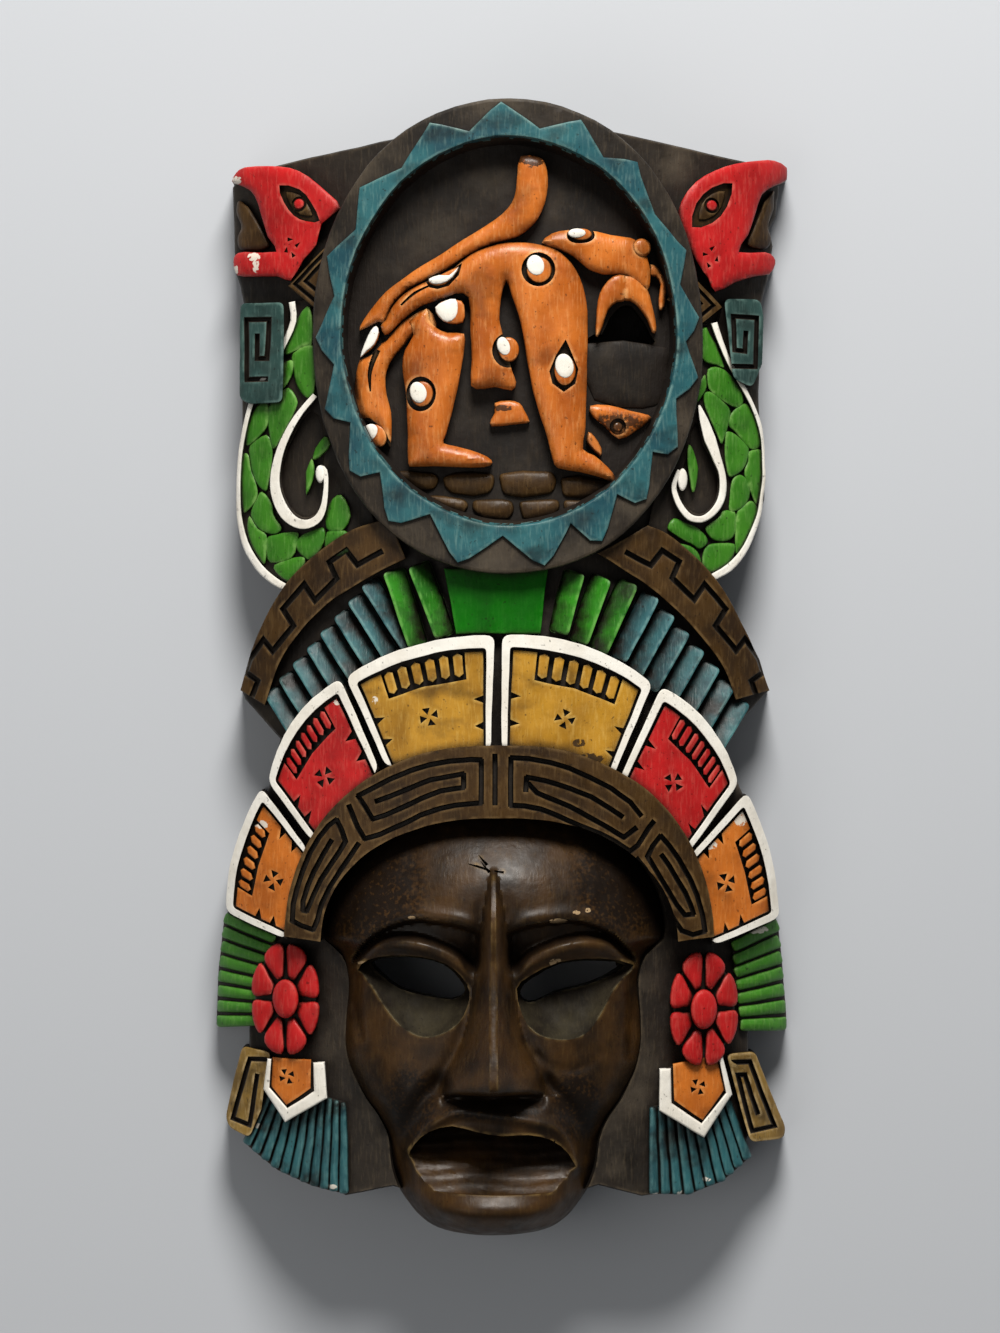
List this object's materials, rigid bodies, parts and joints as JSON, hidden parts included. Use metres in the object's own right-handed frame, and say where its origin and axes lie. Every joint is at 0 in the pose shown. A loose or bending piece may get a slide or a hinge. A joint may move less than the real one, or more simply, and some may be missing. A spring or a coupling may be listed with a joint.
{
  "type": "carved wooden wall mask",
  "caption": "Tall carved and painted wooden wall mask: a stylised face with open eyes and mouth under a panelled headdress and a round relief of a big cat between serpents.",
  "frame": {"origin": "centre of the mask's outline on its flat back, with the mask lying on that back", "axes": "+Y towards the top of the headdress, +Z out of the face away from the wall, +X to the right as the mask is looked at"},
  "size_m": [0.2295, 0.4512, 0.0991],
  "materials": {
    "carved_mask": "hand-painted and waxed wood"
  },
  "bodies": {
    "root": {"carved_mask": "carved_mask"}
  },
  "joints": []
}
